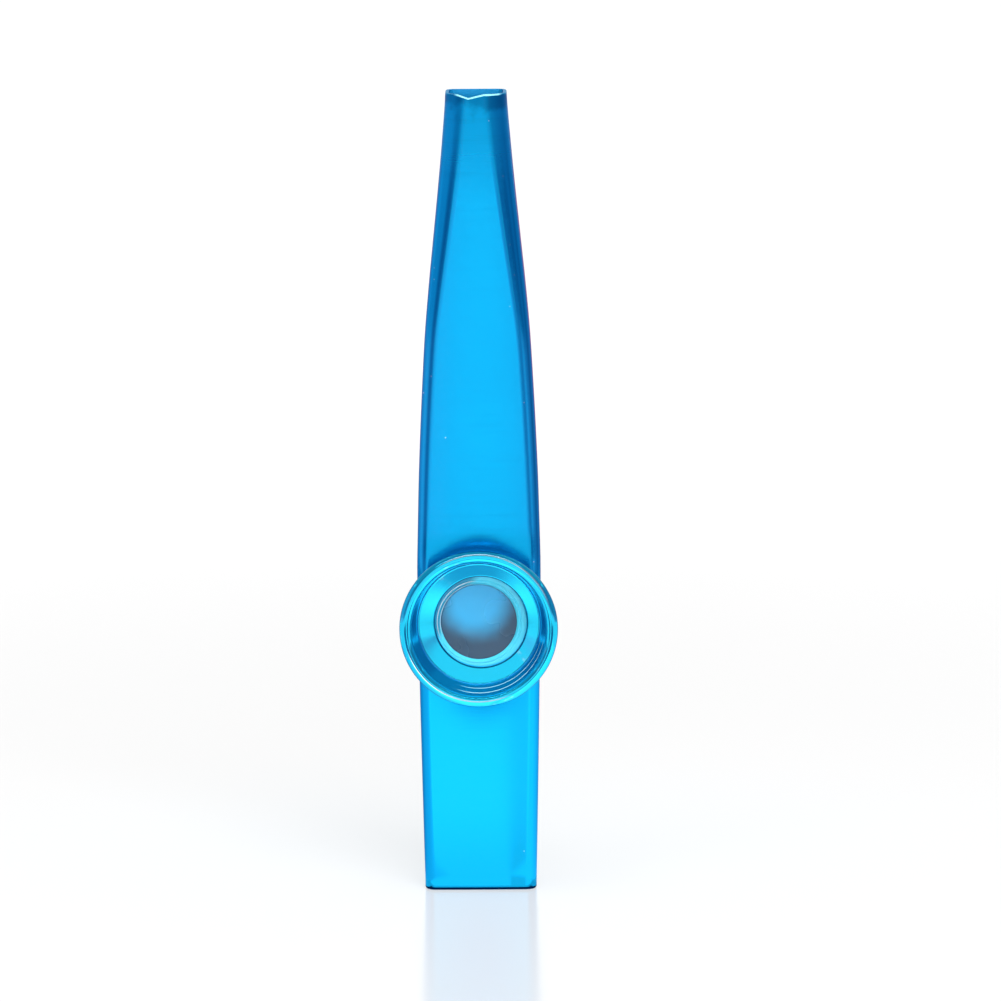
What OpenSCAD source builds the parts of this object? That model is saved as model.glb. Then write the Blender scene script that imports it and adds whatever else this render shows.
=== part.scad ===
/* [Body tube] */
// Length of the tube, which stands on its wide mouth end
body_l = 120; // [100:1:150]
// How far the tube's widest place reaches past the membrane on each side
belly_margin = 1.325; // [0.9:0.025:3]
// Width at the mouth end
mouth_w = 16.7; // [14:0.1:18]
// Width at the narrow end
tip_w = 9.1; // [8:0.1:12]
// Depth from front to back beside the turret
belly_d = 12; // [10:0.1:15]
// Depth at the mouth end
mouth_d = 10; // [8:0.1:12]
// Depth at the narrow end
tip_d = 8.5; // [8:0.1:11]
// Height of the widest place above the mouth end
belly_z = 48.5; // [42:0.5:60]
// Thickness of the tube's wall
wall = 1; // [0.8:0.05:1.2]
// Thickness of its wall at the narrow end, where the tube is drawn thinner
tip_wall = 0.55; // [0.5:0.05:1]
// Radius of the four long edges, from the mouth to the belly
belly_corner = 1.6; // [1.3:0.1:2]
// Radius of the four long edges at the narrow end
tip_corner = 3.4; // [2.5:0.1:3.8]
// Rounding of the outer edge at the mouth
mouth_edge = 0.45; // [0.2:0.05:0.6]
// Rounding of the outer edge at the narrow end
tip_edge = 0.25; // [0.1:0.05:0.5]

/* [Dip in the narrow rim] */
// Distance of the dip's lowest point to the left of the middle
dip_offset = 1.1; // [0:0.1:1.5]
// Run of the dip to the left of its lowest point
dip_left = 1.7; // [1:0.1:2]
// Run of the dip to the right of its lowest point
dip_right = 2.3; // [1:0.1:2.5]
// Depth of the dip
dip_depth = 0.55; // [0.2:0.05:0.8]

/* [Collar] */
// Height of the turret's axis above the mouth end
turret_z = 41.8; // [38:0.1:46]
// How far the front face stays flat above and below the membrane
flat_margin = 0.9; // [0.5:0.1:5]
// Height of the collar above the front face
collar_h = 3; // [2.8:0.1:4]
// How far the collar reaches past the membrane on each side, under its thread
core_margin = 0.15; // [0.05:0.05:0.4]
// How far the collar's bore stands back from the rings' opening
bore_margin = 0.15; // [0:0.05:0.4]
// Wall of the spigot that goes through the tube's front
spigot_wall = 0.8; // [0.5:0.05:1]
// Radial clearance of the spigot in its hole
spigot_gap = 0.04; // [0.02:0.01:0.08]
// Width of the lip turned over behind the tube's wall
stake_w = 0.5; // [0.3:0.05:0.6]
// Thickness of the lip turned over behind the wall
stake_t = 0.5; // [0.4:0.05:0.8]

/* [Thread] */
// Rise of the thread in one turn
thread_pitch = 0.75; // [0.7:0.05:0.9]
// Height of the thread above its root
thread_depth = 0.45; // [0.35:0.05:0.5]
// Width of the thread at its crest
thread_crest_w = 0.12; // [0.08:0.02:0.16]
// Gap between the flanks of the two threads
flank_gap = 0.065; // [0.05:0.005:0.09]
// Radial gap between a crest and the root that it faces
thread_gap = 0.15; // [0.1:0.01:0.2]
// Height of the thread's lowest root above the front face
thread_start = 0.7; // [0.6:0.05:0.9]
// Distance from the thread's highest root to the top of the collar
thread_top = 0.425; // [0.35:0.025:0.6]

/* [Membrane] */
// Diameter of the two clear rings
membrane_d = 15.8; // [15.4:0.1:16]
// Width of the rings, from their opening to their edge
ring_w = 2.25; // [1.8:0.05:2.8]
// Thickness of the lower ring
ring_t = 0.6; // [0.5:0.05:1]
// Thickness of the film
film_t = 0.06; // [0.05:0.01:0.1]
// How far the film's edge lies in from the rings' edge
film_margin = 0.4; // [0.2:0.05:0.8]
// Thickness of the upper ring
hoop_t = 0.5; // [0.4:0.05:0.8]
// Width of the bevel around the upper ring's opening
hoop_bevel = 0.3; // [0.1:0.05:0.35]
// Width of the shallow groove in the upper ring
groove_w = 0.24; // [0.1:0.02:0.3]
// Depth of the shallow groove in the upper ring
groove_depth = 0.1; // [0.05:0.01:0.2]
// Land between the bevel and the groove
groove_land = 0.2; // [0.1:0.05:0.3]

/* [Cap] */
// How far the cap flares out from the foot of its wall to its lip
flare_w = 2.65; // [2.1:0.05:3.4]
// Thickness of the rolled lip
bead_d = 1.8; // [1.4:0.05:2]
// Height of the lip above the middle of the upper ring
cup_h = 7.1; // [6:0.1:9]
// How far the cup's floor reaches past the membrane on each side
floor_margin = 1.2; // [0.9:0.05:1.4]
// How far the floor laps over the membrane at its hole
hole_lap = 1.1; // [0.9:0.05:1.6]
// How far the punched hole lies to the right of the cap's axis
hole_shift = 0.3; // [0:0.05:0.3]
// How far the punched hole lies above the cap's axis
hole_rise = 0.2; // [0:0.05:0.3]
// Thickness of the floor at its hole
floor_t = 1.15; // [0.4:0.05:1.4]
// Rise of the conical floor from the hole to the wall
floor_rise = 0.35; // [0.2:0.05:1.6]
// Fillet at the foot of the cup's wall
foot_fillet = 0.35; // [0.2:0.05:0.5]
// Thickness of the cup's wall
cup_wall = 0.85; // [0.7:0.05:1]
// Thickness of the skirt around the collar
skirt_wall = 1.05; // [0.9:0.05:1.3]
// Gap between the skirt and the front face
skirt_gap = 0.4; // [0.35:0.05:0.6]
// Radial clearance of the rings in the cap's recess
recess_gap = 0.3; // [0.25:0.01:0.35]
// Gap between the recess's step and the collar
step_gap = 0.1; // [0.05:0.01:0.2]
// Small chamfer on turned edges
chamfer = 0.15; // [0.1:0.01:0.2]

/* [Hidden] */
$fn = 96;
// Overrun of every cut
over = 0.5;
// Depth by which the thread's root is sunk in its carrier
sink = 0.2;

// Narrowing of the tube above the belly, at even steps of height
taper_shares = [0, 0.033, 0.073, 0.134, 0.21, 0.301, 0.434, 0.589, 0.744, 0.886, 1];
// Growth of the long edges' radius above the belly, at even steps of height
corner_shares = [0, 0.04, 0.08, 0.1, 0.13, 0.2, 0.39, 0.58, 0.74, 0.92, 1];
// How quickly the width grows above the mouth, and the front and back draw in beyond the flat
swell_power = 1.2;
mouth_draw_power = 1.3;
tip_draw_power = 0.5;
// How much closer the skin's rings lie where the draw begins
high_power = 1.4;

// Steps of the tube's skin
low_steps = 9;
flat_steps = 3;
high_steps = 30;
edge_steps = 4;
corner_steps = 7;
thread_steps = 36;
bead_steps = 28;
fillet_steps = 6;
// Angle at which the lip's bead leaves the flare below it
flare_turn = -80;

membrane_r = membrane_d / 2;
window_r = membrane_r - ring_w;
film_r = membrane_r - film_margin;
belly_w = membrane_d + 2 * belly_margin;
flat_low = turret_z - membrane_r - flat_margin;
flat_high = turret_z + membrane_r + flat_margin;
front_y = -belly_d / 2;
bore_r = window_r + bore_margin;
spigot_r = bore_r + spigot_wall;
core_r = membrane_r + core_margin;
thread_r = core_r + thread_depth;
thread_root_w = thread_pitch - thread_crest_w - 2 * flank_gap;
thread_turns = (collar_h - thread_start - thread_top) / thread_pitch;
skirt_bore_r = thread_r + thread_gap;
skirt_r = skirt_bore_r + skirt_wall;
ring_h = collar_h;
film_h = ring_h + ring_t;
hoop_h = film_h + film_t;
recess_h = hoop_h + hoop_t;
bead_r = bead_d / 2;
lip_h = hoop_h + hoop_t / 2 + cup_h;
hole_r = membrane_r - hole_lap;
floor_r = membrane_r + floor_margin;
hole_top_h = recess_h + floor_t;
floor_h = hole_top_h + floor_rise;

function mix(a, b, t) = a + (b - a) * t;

// Smooth value along a table of evenly spaced shares
function along(shares, t) =
    let (n = len(shares) - 1,
         k = max(0, min(n - 1, floor(t * n))),
         u = t * n - k,
         a = shares[max(0, k - 1)],
         b = shares[k],
         c = shares[k + 1],
         d = shares[min(n, k + 2)])
    b + u / 2 * (c - a + u * (2 * a - 5 * b + 4 * c - d + u * (3 * (b - c) + d - a)));

function above_belly(z) = (z - belly_z) / (body_l - belly_z);

function half_width(z) =
    z < belly_z
        ? mix(belly_w, mouth_w, pow(1 - z / belly_z, swell_power)) / 2
        : mix(belly_w, tip_w, along(taper_shares, above_belly(z))) / 2;

function above_flat(z) = max(0, z - flat_high) / (body_l - flat_high);

function half_depth(z) =
    z < flat_low ? mix(belly_d, mouth_d, pow(1 - z / flat_low, mouth_draw_power)) / 2
    : mix(belly_d, tip_d, pow(above_flat(z), tip_draw_power)) / 2;

function wall_at(z) = mix(wall, tip_wall, above_flat(z));

function corner(z) =
    z < belly_z ? belly_corner : mix(belly_corner, tip_corner, along(corner_shares, above_belly(z)));

// How far a rounded end edge stands in, at a distance from the end
function edge_inset(from_end, radius) =
    from_end >= radius ? 0 : radius - sqrt(radius * radius - pow(radius - from_end, 2));

// Heights of the rings: rounded mouth, swelling part, flat part, taper and rounded tip
function rounded_steps(radius) = [for (i = [0 : edge_steps]) radius * (1 - cos(90 * i / edge_steps))];
low_levels = [for (i = [1 : low_steps]) mix(mouth_edge, flat_low, i / low_steps)];
flat_levels = [for (i = [1 : flat_steps]) mix(flat_low, flat_high, i / flat_steps)];
high_levels = [for (i = [1 : high_steps]) mix(flat_high, body_l - tip_edge, pow(i / high_steps, high_power))];
tip_levels = [for (i = [1 : edge_steps]) body_l - rounded_steps(tip_edge)[edge_steps - i]];
levels = concat(rounded_steps(mouth_edge), low_levels, flat_levels, high_levels, tip_levels);

// One ring of the tube: a rounded rectangle that stands in by inset
function ring_points(z, inset) =
    let (r = max(corner(z) - inset, corner(z) / 4),
         cx = half_width(z) - inset - r,
         cy = half_depth(z) - inset - r)
    [for (q = [0 : 3], i = [0 : corner_steps])
        let (turn = 90 * (q + i / corner_steps),
             sx = q == 0 || q == 3 ? 1 : -1,
             sy = q < 2 ? 1 : -1)
        [sx * cx + r * cos(turn), sy * cy + r * sin(turn), z]];

function outer_inset(z) = edge_inset(z, mouth_edge) + edge_inset(body_l - z, tip_edge);

// Skin of a stack of rings, closed at both ends
module stack(rings) {
    n = len(rings[0]);
    m = len(rings);
    points = [for (ring = rings) each ring];
    sides = [for (k = [0 : m - 2], i = [0 : n - 1])
        let (a = k * n + i, b = k * n + (i + 1) % n)
        each [[a, a + n, b + n], [a, b + n, b]]];
    ends = [[for (i = [0 : n - 1]) i], [for (i = [0 : n - 1]) m * n - 1 - i]];
    polyhedron(points, concat(sides, ends), convexity = 6);
}

// Anything drawn in the turret's own frame, with its axis out of the front face
module on_turret() {
    translate([0, front_y, turret_z]) rotate([90, 0, 0]) children();
}

// Turning profile given as [radius, height] points
module turned(profile) {
    rotate_extrude() polygon(profile);
}

// Helical ridge, its root sunk at root_r and its crest at crest_r
module thread(root_r, crest_r, start_h) {
    inward = crest_r < root_r ? -1 : 1;
    base_r = root_r - inward * sink;
    flank = (thread_root_w - thread_crest_w) / 2 / thread_depth;
    base_w = thread_root_w + 2 * sink * flank;
    count = round(thread_turns * thread_steps);
    rings = [for (i = [0 : count])
        let (turn = 360 * i / thread_steps,
             mid = start_h + thread_pitch * i / thread_steps,
             base = base_r * [cos(turn), sin(turn)],
             crest = crest_r * [cos(turn), sin(turn)])
        [[base[0], base[1], mid - inward * base_w / 2],
         [base[0], base[1], mid + inward * base_w / 2],
         [crest[0], crest[1], mid + inward * thread_crest_w / 2],
         [crest[0], crest[1], mid - inward * thread_crest_w / 2]]];
    stack(rings);
}

module body_tube() {
    color([0.06, 0.62, 0.93]) difference() {
        stack([for (z = levels) ring_points(z, outer_inset(z))]);
        stack([for (z = concat([-over], levels, [body_l + over]))
            let (inside = max(0, min(body_l, z)))
            [for (p = ring_points(inside, wall_at(inside))) [p[0], p[1], z]]]);
        on_turret() translate([0, 0, -wall - over])
            cylinder(r = spigot_r + spigot_gap, h = wall + 2 * over);
        // The dip goes through the front wall only
        translate([-dip_offset, -tip_d / 2 - over, body_l])
            rotate([90, 0, 0]) mirror([0, 0, 1])
            linear_extrude(wall + tip_corner / 2 + over)
            polygon([[-dip_left, 0], [0, -dip_depth], [dip_right, 0], [dip_right, over], [-dip_left, over]]);
    }
}

module turret_collar() {
    color([0.05, 0.55, 0.86]) on_turret() {
        union() {
            turned([
                [bore_r, -wall - stake_t],
                [spigot_r + stake_w, -wall - stake_t],
                [spigot_r + stake_w, -wall],
                [spigot_r, -wall],
                [spigot_r, 0],
                [core_r, 0],
                [core_r, collar_h - chamfer],
                [core_r - chamfer, collar_h],
                [bore_r, collar_h]]);
            thread(core_r, thread_r, thread_start);
        }
    }
}

module membrane_ring() {
    color([0.75, 0.9, 0.97, 0.6]) on_turret() turned([
        [window_r, ring_h],
        [membrane_r, ring_h],
        [membrane_r, film_h],
        [window_r, film_h]]);
}

module membrane_film() {
    color([0.45, 0.68, 0.85, 0.8]) on_turret() translate([0, 0, film_h])
        cylinder(r = film_r, h = film_t);
}

module membrane_hoop() {
    groove_r = window_r + hoop_bevel + groove_land;
    color([0.78, 0.92, 0.98, 0.6]) on_turret() turned([
        [window_r, hoop_h],
        [membrane_r, hoop_h],
        [membrane_r, recess_h],
        [groove_r + groove_w, recess_h],
        [groove_r + groove_w / 2, recess_h - groove_depth],
        [groove_r, recess_h],
        [window_r + hoop_bevel, recess_h],
        [window_r, recess_h - hoop_bevel]]);
}

// Points of an arc about a centre, from one angle to another
function arc(centre, radius, from, to, steps) =
    [for (i = [0 : steps])
        let (turn = mix(from, to, i / steps))
        centre + radius * [cos(turn), sin(turn)]];

module screw_cap() {
    bead_at = [floor_r + flare_w - bead_r, lip_h - bead_r];
    recess_r = membrane_r + recess_gap;
    step_h = collar_h + step_gap;
    wall_lean = atan2(bead_at[0] - bead_r - floor_r, bead_at[1] - floor_h);
    floor_lean = atan2(floor_rise, floor_r - hole_r);
    // The fillet touches the conical floor and the leaning wall
    corner_turn = 90 - wall_lean - floor_lean;
    to_tangent = foot_fillet / tan((180 - corner_turn) / 2);
    foot = [floor_r, floor_h]
        + to_tangent * [sin(wall_lean), cos(wall_lean)]
        + foot_fillet * [-cos(wall_lean), sin(wall_lean)];
    flare_low = [skirt_r, floor_h - cup_wall];
    flare_mid = [floor_r + cup_wall + (bead_at[0] - bead_r - floor_r) / 2, mix(floor_h, bead_at[1], 1 / 2)];
    // The floor is turned with a smaller bore, and the hole is punched through it off its axis
    floor_bore = hole_r - hole_shift - hole_rise - 2 * chamfer;
    color([0.1, 0.72, 0.95]) on_turret() difference() {
        turned(concat(
            [[skirt_bore_r + chamfer, skirt_gap],
             [skirt_r - chamfer, skirt_gap],
             [skirt_r, skirt_gap + chamfer],
             flare_low,
             flare_mid],
            arc(bead_at, bead_r, flare_turn, 180 - wall_lean, bead_steps),
            arc(foot, foot_fillet, -wall_lean, floor_lean - 90, fillet_steps),
            [[floor_bore, hole_top_h - (hole_r - floor_bore) * tan(floor_lean)],
             [floor_bore, recess_h],
             [recess_r, recess_h],
             [recess_r, step_h],
             [skirt_bore_r, step_h],
             [skirt_bore_r, skirt_gap + chamfer]]));
        translate([hole_shift, hole_rise, 0]) {
            translate([0, 0, recess_h - over]) cylinder(r = hole_r, h = floor_t + floor_rise + 2 * over);
            translate([0, 0, hole_top_h - chamfer])
                cylinder(r1 = hole_r, r2 = hole_r + chamfer + over, h = chamfer + over);
        }
    }
    color([0.1, 0.72, 0.95]) on_turret()
        thread(skirt_bore_r, skirt_bore_r - thread_depth, thread_start + thread_pitch / 2);
}

body_tube();
turret_collar();
membrane_ring();
membrane_film();
membrane_hoop();
screw_cap();
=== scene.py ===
import math

import bmesh
import bpy
from mathutils import Matrix, Vector


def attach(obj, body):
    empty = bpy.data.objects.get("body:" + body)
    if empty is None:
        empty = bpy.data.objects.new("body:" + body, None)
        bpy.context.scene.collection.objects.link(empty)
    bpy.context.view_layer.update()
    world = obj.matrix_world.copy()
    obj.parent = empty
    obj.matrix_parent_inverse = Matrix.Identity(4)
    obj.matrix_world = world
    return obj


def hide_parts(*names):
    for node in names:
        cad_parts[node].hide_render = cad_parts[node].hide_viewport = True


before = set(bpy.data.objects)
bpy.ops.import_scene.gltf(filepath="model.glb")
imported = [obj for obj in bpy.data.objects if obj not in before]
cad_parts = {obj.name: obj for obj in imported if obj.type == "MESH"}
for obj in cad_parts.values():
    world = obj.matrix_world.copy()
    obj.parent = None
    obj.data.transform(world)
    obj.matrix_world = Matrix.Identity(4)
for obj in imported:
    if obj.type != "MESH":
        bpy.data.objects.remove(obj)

scene = bpy.context.scene
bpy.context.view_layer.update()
mm = 0.001

# Faces that meet at a smaller angle than this, in degrees, are shaded as one
smoothAngle = 35

# The tube in millimetres: the solid model's sizes, and finer forms that it leaves out
tube = {
    "length": 120,
    "bellyWidth": 18.45,
    "mouthWidth": 16.7,
    "tipWidth": 9.1,
    "bellyDepth": 12,
    "mouthDepth": 10,
    "tipDepth": 8.5,
    "bellyHeight": 48.5,
    "flatLow": 33,
    "flatHigh": 50.6,
    "wall": 1,
    "tipWall": 0.55,
    "bellyCorner": 1.6,
    "tipCorner": 3.4,
    "mouthEdge": 0.45,
    "tipEdge": 0.25,
    "innerEdge": 0.12,
    "holeRadius": 6.64,
    "turretHeight": 41.8,
    "swellPower": 1.2,
    "mouthDrawPower": 1.3,
    "tipDrawPower": 0.5,
    "rowsBelow": 30,
    "rowsBeside": 12,
    "rowsAbove": 120,
    "rowsInside": 60,
    "rowPower": 1.4,
    "drawFrom": 47.5,
    "drawTo": 55,
    "backCorner": 1.3,
    "taperShares": [0, 0.033, 0.073, 0.134, 0.21, 0.301, 0.434, 0.589, 0.744, 0.886, 1],
    "cornerShares": [0, 0.04, 0.08, 0.1, 0.13, 0.2, 0.39, 0.58, 0.74, 0.92, 1],
    "dipAt": -1.1,
    "dipLeft": 1.7,
    "dipRight": 2.3,
    "dipDepth": 0.55,
    "dipFade": 3,
    "crown": 0.026,
}


def mix(a, b, t):
    return a + (b - a) * t


# Smooth value along a table of evenly spaced shares
def along(shares, t):
    last = len(shares) - 1
    k = max(0, min(last - 1, math.floor(t * last)))
    u = t * last - k
    a, b, c, d = shares[max(0, k - 1)], shares[k], shares[k + 1], shares[min(last, k + 2)]
    return b + u / 2 * (c - a + u * (2 * a - 5 * b + 4 * c - d + u * (3 * (b - c) + d - a)))


def aboveBelly(z):
    return (z - tube["bellyHeight"]) / (tube["length"] - tube["bellyHeight"])


def halfWidth(z):
    if z < tube["bellyHeight"]:
        share = pow(1 - z / tube["bellyHeight"], tube["swellPower"])
        return mix(tube["bellyWidth"], tube["mouthWidth"], share) / 2
    return mix(tube["bellyWidth"], tube["tipWidth"], along(tube["taperShares"], aboveBelly(z))) / 2


def aboveFlat(z):
    return max(0, z - tube["flatHigh"]) / (tube["length"] - tube["flatHigh"])


def halfDepth(z):
    if z < tube["flatLow"]:
        share = pow(1 - z / tube["flatLow"], tube["mouthDrawPower"])
        return mix(tube["bellyDepth"], tube["mouthDepth"], share) / 2
    if tube["drawFrom"] < z < tube["drawTo"]:
        return drawStart(z)
    return mix(tube["bellyDepth"], tube["tipDepth"], pow(aboveFlat(z), tube["tipDrawPower"])) / 2


# The bend just above the turret is eased: it starts level and ends with the draw's own slope
def drawStart(z):
    run = tube["drawTo"] - tube["drawFrom"]
    share, power = aboveFlat(tube["drawTo"]), tube["tipDrawPower"]
    drop = tube["tipDepth"] - tube["bellyDepth"]
    end = (tube["bellyDepth"] + drop * pow(share, power)) / 2
    slope = drop / 2 * power * pow(share, power - 1) / (tube["length"] - tube["flatHigh"])
    t = (z - tube["drawFrom"]) / run
    level = mix(tube["bellyDepth"] / 2, end, t * t * (3 - 2 * t))
    return level + slope * run * t * t * (t - 1)


def wallAt(z):
    return mix(tube["wall"], tube["tipWall"], aboveFlat(z))


def cornerRadius(z):
    if z < tube["bellyHeight"]:
        return tube["bellyCorner"]
    return mix(tube["bellyCorner"], tube["tipCorner"], along(tube["cornerShares"], aboveBelly(z)))


# One ring of the tube: a rounded rectangle, with points on its flats as well
def tubeRing(z, inset, cornerSteps=14, wideSteps=12, deepSteps=8):
    behind = mix(tube["bellyCorner"], tube["backCorner"], aboveFlat(z))
    corners = []
    for quarter in range(4):
        sx = 1 if quarter in (0, 3) else -1
        sy = 1 if quarter < 2 else -1
        full = behind if sy > 0 else cornerRadius(z)
        radius = max(full - inset, full / 4)
        cx = halfWidth(z) - inset - radius
        cy = halfDepth(z) - inset - radius
        turns = [math.pi / 2 * (quarter + i / cornerSteps) for i in range(cornerSteps + 1)]
        corners.append([(sx * cx + radius * math.cos(a), sy * cy + radius * math.sin(a)) for a in turns])
    points = []
    for quarter in range(4):
        points += corners[quarter]
        start, end = corners[quarter][-1], corners[(quarter + 1) % 4][0]
        steps = wideSteps if quarter % 2 == 0 else deepSteps
        for i in range(1, steps):
            t = (1 - math.cos(math.pi * i / steps)) / 2
            points.append((mix(start[0], end[0], t), mix(start[1], end[1], t)))
    half = halfWidth(z)
    return [(x, y * (1 - tube["crown"] * (x / half) ** 2)) for x, y in points]


# How far the front wall's rim dips at a place across it
def dipAt(x, y, z):
    if y > -tube["tipDepth"] / 4:
        return 0
    run = tube["dipLeft"] if x < tube["dipAt"] else tube["dipRight"]
    share = max(0, 1 - abs(x - tube["dipAt"]) / run)
    fade = max(0, 1 - (tube["length"] - z) / tube["dipFade"])
    return tube["dipDepth"] * share * fade * fade * (3 - 2 * fade)


def roundedSteps(radius, steps):
    turns = [math.pi / 2 * i / steps for i in range(steps + 1)]
    return [(radius * (1 - math.cos(a)), radius * (1 - math.sin(a))) for a in turns]


# An object with a mesh, from points in metres
def addMesh(name, points, faces):
    mesh = bpy.data.meshes.new(name)
    mesh.from_pydata(points, [], faces)
    made = bpy.data.objects.new(name, mesh)
    scene.collection.objects.link(made)
    return made


def newPiece(name, points, faces):
    piece = addMesh(name, [[c * mm for c in p] for p in points], faces)
    finishMesh(piece.data)
    return piece


def finishMesh(mesh):
    work = bmesh.new()
    work.from_mesh(mesh)
    bmesh.ops.remove_doubles(work, verts=work.verts, dist=1e-7)
    bmesh.ops.recalc_face_normals(work, faces=work.faces)
    work.to_mesh(mesh)
    work.free()
    mesh.shade_smooth()
    mesh.set_sharp_from_angle(angle=math.radians(smoothAngle))
    mesh.update()


# Faces between closed rings of equal length; the last ring may meet the first
def ringFaces(rings, count, meet=False):
    faces = []
    for k in range(rings if meet else rings - 1):
        for i in range(count):
            here, ahead, j = k * count, ((k + 1) % rings) * count, (i + 1) % count
            faces.append((here + i, here + j, ahead + j, ahead + i))
    return faces


def makeTube():
    length, wall, inner = tube["length"], tube["wall"], tube["innerEdge"]
    below, level, above = tube["rowsBelow"], tube["rowsBeside"], tube["rowsAbove"]
    inside = tube["rowsInside"]
    beside = 0.04
    first, last = tube["mouthEdge"] + beside, length - tube["tipEdge"] - beside
    heights = [mix(first, tube["flatLow"], i / below) for i in range(below + 1)]
    heights += [mix(tube["flatLow"], tube["flatHigh"], i / level) for i in range(1, level + 1)]
    heights += [mix(tube["flatHigh"], last, pow(i / above, tube["rowPower"])) for i in range(1, above + 1)]
    skin = roundedSteps(tube["mouthEdge"], 8) + [(z, 0) for z in heights]
    skin += [(length - z, inset) for z, inset in reversed(roundedSteps(tube["tipEdge"], 6))]
    skin += [(length - z, tube["tipWall"] - inset) for z, inset in roundedSteps(inner, 4)]
    skin += [(z, wallAt(z)) for z in (mix(length - inner, inner, i / inside) for i in range(1, inside + 1))]
    skin += [(z, wall - inset) for z, inset in reversed(roundedSteps(inner, 4)[:-1])]
    points = []
    for z, inset in skin:
        ring = tubeRing(z, inset)
        points += [(x, y, z - dipAt(x, y, z)) for x, y in ring]
    piece = newPiece("bodyTube", points, ringFaces(len(skin), len(ring), meet=True))
    cutter = newPiece("spigotHole", *roundBar(tube["holeRadius"], 3 * wall, 96))
    cutter.location = Vector((0, -tube["bellyDepth"] / 2 + wall / 2, tube["turretHeight"])) * mm
    cutter.rotation_euler = (math.pi / 2, 0, 0)
    cut = piece.modifiers.new("hole", "BOOLEAN")
    cut.operation, cut.solver, cut.object = "DIFFERENCE", "EXACT", cutter
    bpy.context.view_layer.update()
    graph = bpy.context.evaluated_depsgraph_get()
    holed = bpy.data.meshes.new_from_object(piece.evaluated_get(graph))
    piece.modifiers.clear()
    piece.data = holed
    finishMesh(holed)
    bpy.data.objects.remove(cutter)
    return piece


def roundBar(radius, height, steps):
    turns = [2 * math.pi * i / steps for i in range(steps)]
    ends = (-height / 2, height / 2)
    points = [(radius * math.cos(a), radius * math.sin(a), h) for h in ends for a in turns]
    faces = ringFaces(2, steps) + [tuple(reversed(range(steps))), tuple(range(steps, 2 * steps))]
    return points, faces


# The turret's pieces: radii and heights above the front face, in millimetres
turret = {
    "segments": 240,
    "frontDepth": 6,
    "height": 41.8,
    "membraneRadius": 7.9,
    "windowRadius": 5.65,
    "filmRadius": 7.5,
    "boreRadius": 5.8,
    "spigotRadius": 6.6,
    "coreRadius": 8.05,
    "stakeRadius": 7.1,
    "stakeDepth": 1.5,
    "ringLow": 3,
    "filmLow": 3.6,
    "filmHigh": 3.66,
    "hoopHigh": 4.16,
    "hoopBevel": 0.3,
    "grooveLand": 0.2,
    "grooveWidth": 0.24,
    "grooveDepth": 0.1,
    "filmSag": 0.16,
    "filmWave": 0.018,
    "waves": [(0.62, 1.1, 0.4, 1), (1.3, -0.5, 1.2, 0.6), (0.9, 2.1, 2, 0.35)],
}

thread = {
    "pitch": 0.75,
    "depth": 0.45,
    "rootWidth": 0.5,
    "crestWidth": 0.12,
    "turns": 2.5,
    "start": 0.7,
    "sink": 0.2,
    "stepsPerTurn": 96,
}

cap = {
    "lipRadius": 11.75,
    "beadRadius": 0.9,
    "lipHeight": 11.01,
    "floorRadius": 9.1,
    "floorHeight": 5.66,
    "holeRadius": 6.8,
    "holeShift": 0.3,
    "holeRise": 0.2,
    "holeTop": 5.31,
    "holeEdge": 0.3,
    "wall": 0.85,
    "skirtRadius": 9.7,
    "skirtBore": 8.65,
    "skirtGap": 0.4,
    "recessRadius": 8.2,
    "stepHeight": 3.1,
    "footFillet": 0.35,
    "edge": 0.15,
    "flareTurn": -80,
}


# From a place across, up and out of the turret's base to the part's frame
def onTurret(x, y, h):
    return (x, -turret["frontDepth"] - h, turret["height"] + y)


def arc(centre, radius, start, end, steps):
    turns = [math.radians(mix(start, end, i / steps)) for i in range(steps + 1)]
    return [(centre[0] + radius * math.cos(a), centre[1] + radius * math.sin(a)) for a in turns]


# Rounds the corners of a closed profile: each point is (radius, height, rounding)
def rounded(profile, steps=4):
    made = []
    for k, (r, h, rounding) in enumerate(profile):
        if rounding == 0:
            made.append((r, h))
            continue
        here = Vector((r, h))
        back = Vector(profile[k - 1][:2]) - here
        ahead = Vector(profile[(k + 1) % len(profile)][:2]) - here
        half = back.angle(ahead) / 2
        reach = rounding / math.tan(half)
        start, end = here + back.normalized() * reach, here + ahead.normalized() * reach
        middle = here + (back.normalized() + ahead.normalized()).normalized() * rounding / math.sin(half)
        for i in range(steps + 1):
            spoke = (start - middle).normalized().slerp((end - middle).normalized(), i / steps)
            made.append(tuple(middle + spoke * rounding))
    return made


# Extra points just beside the corners, so that smooth shading leaves the flats flat
def supported(profile, beside=0.02):
    made = []
    for here, ahead in zip(profile, profile[1:] + profile[:1]):
        step = Vector(ahead) - Vector(here)
        made.append(here)
        if step.length > 10 * beside:
            share = beside / step.length
            made += [tuple(Vector(here).lerp(Vector(ahead), t)) for t in (share, 1 - share)]
    return made


# Points and faces of a turned piece; adjust may move a point, from its place and its radius
def turnedMesh(profile, adjust=None):
    profile = supported(profile)
    count = turret["segments"]
    points = []
    for r, h in profile:
        for i in range(count):
            a = 2 * math.pi * i / count
            at = (r * math.cos(a), r * math.sin(a), h)
            points.append(onTurret(*(adjust(at, r) if adjust else at)))
    return points, ringFaces(len(profile), count, meet=True)


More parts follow.
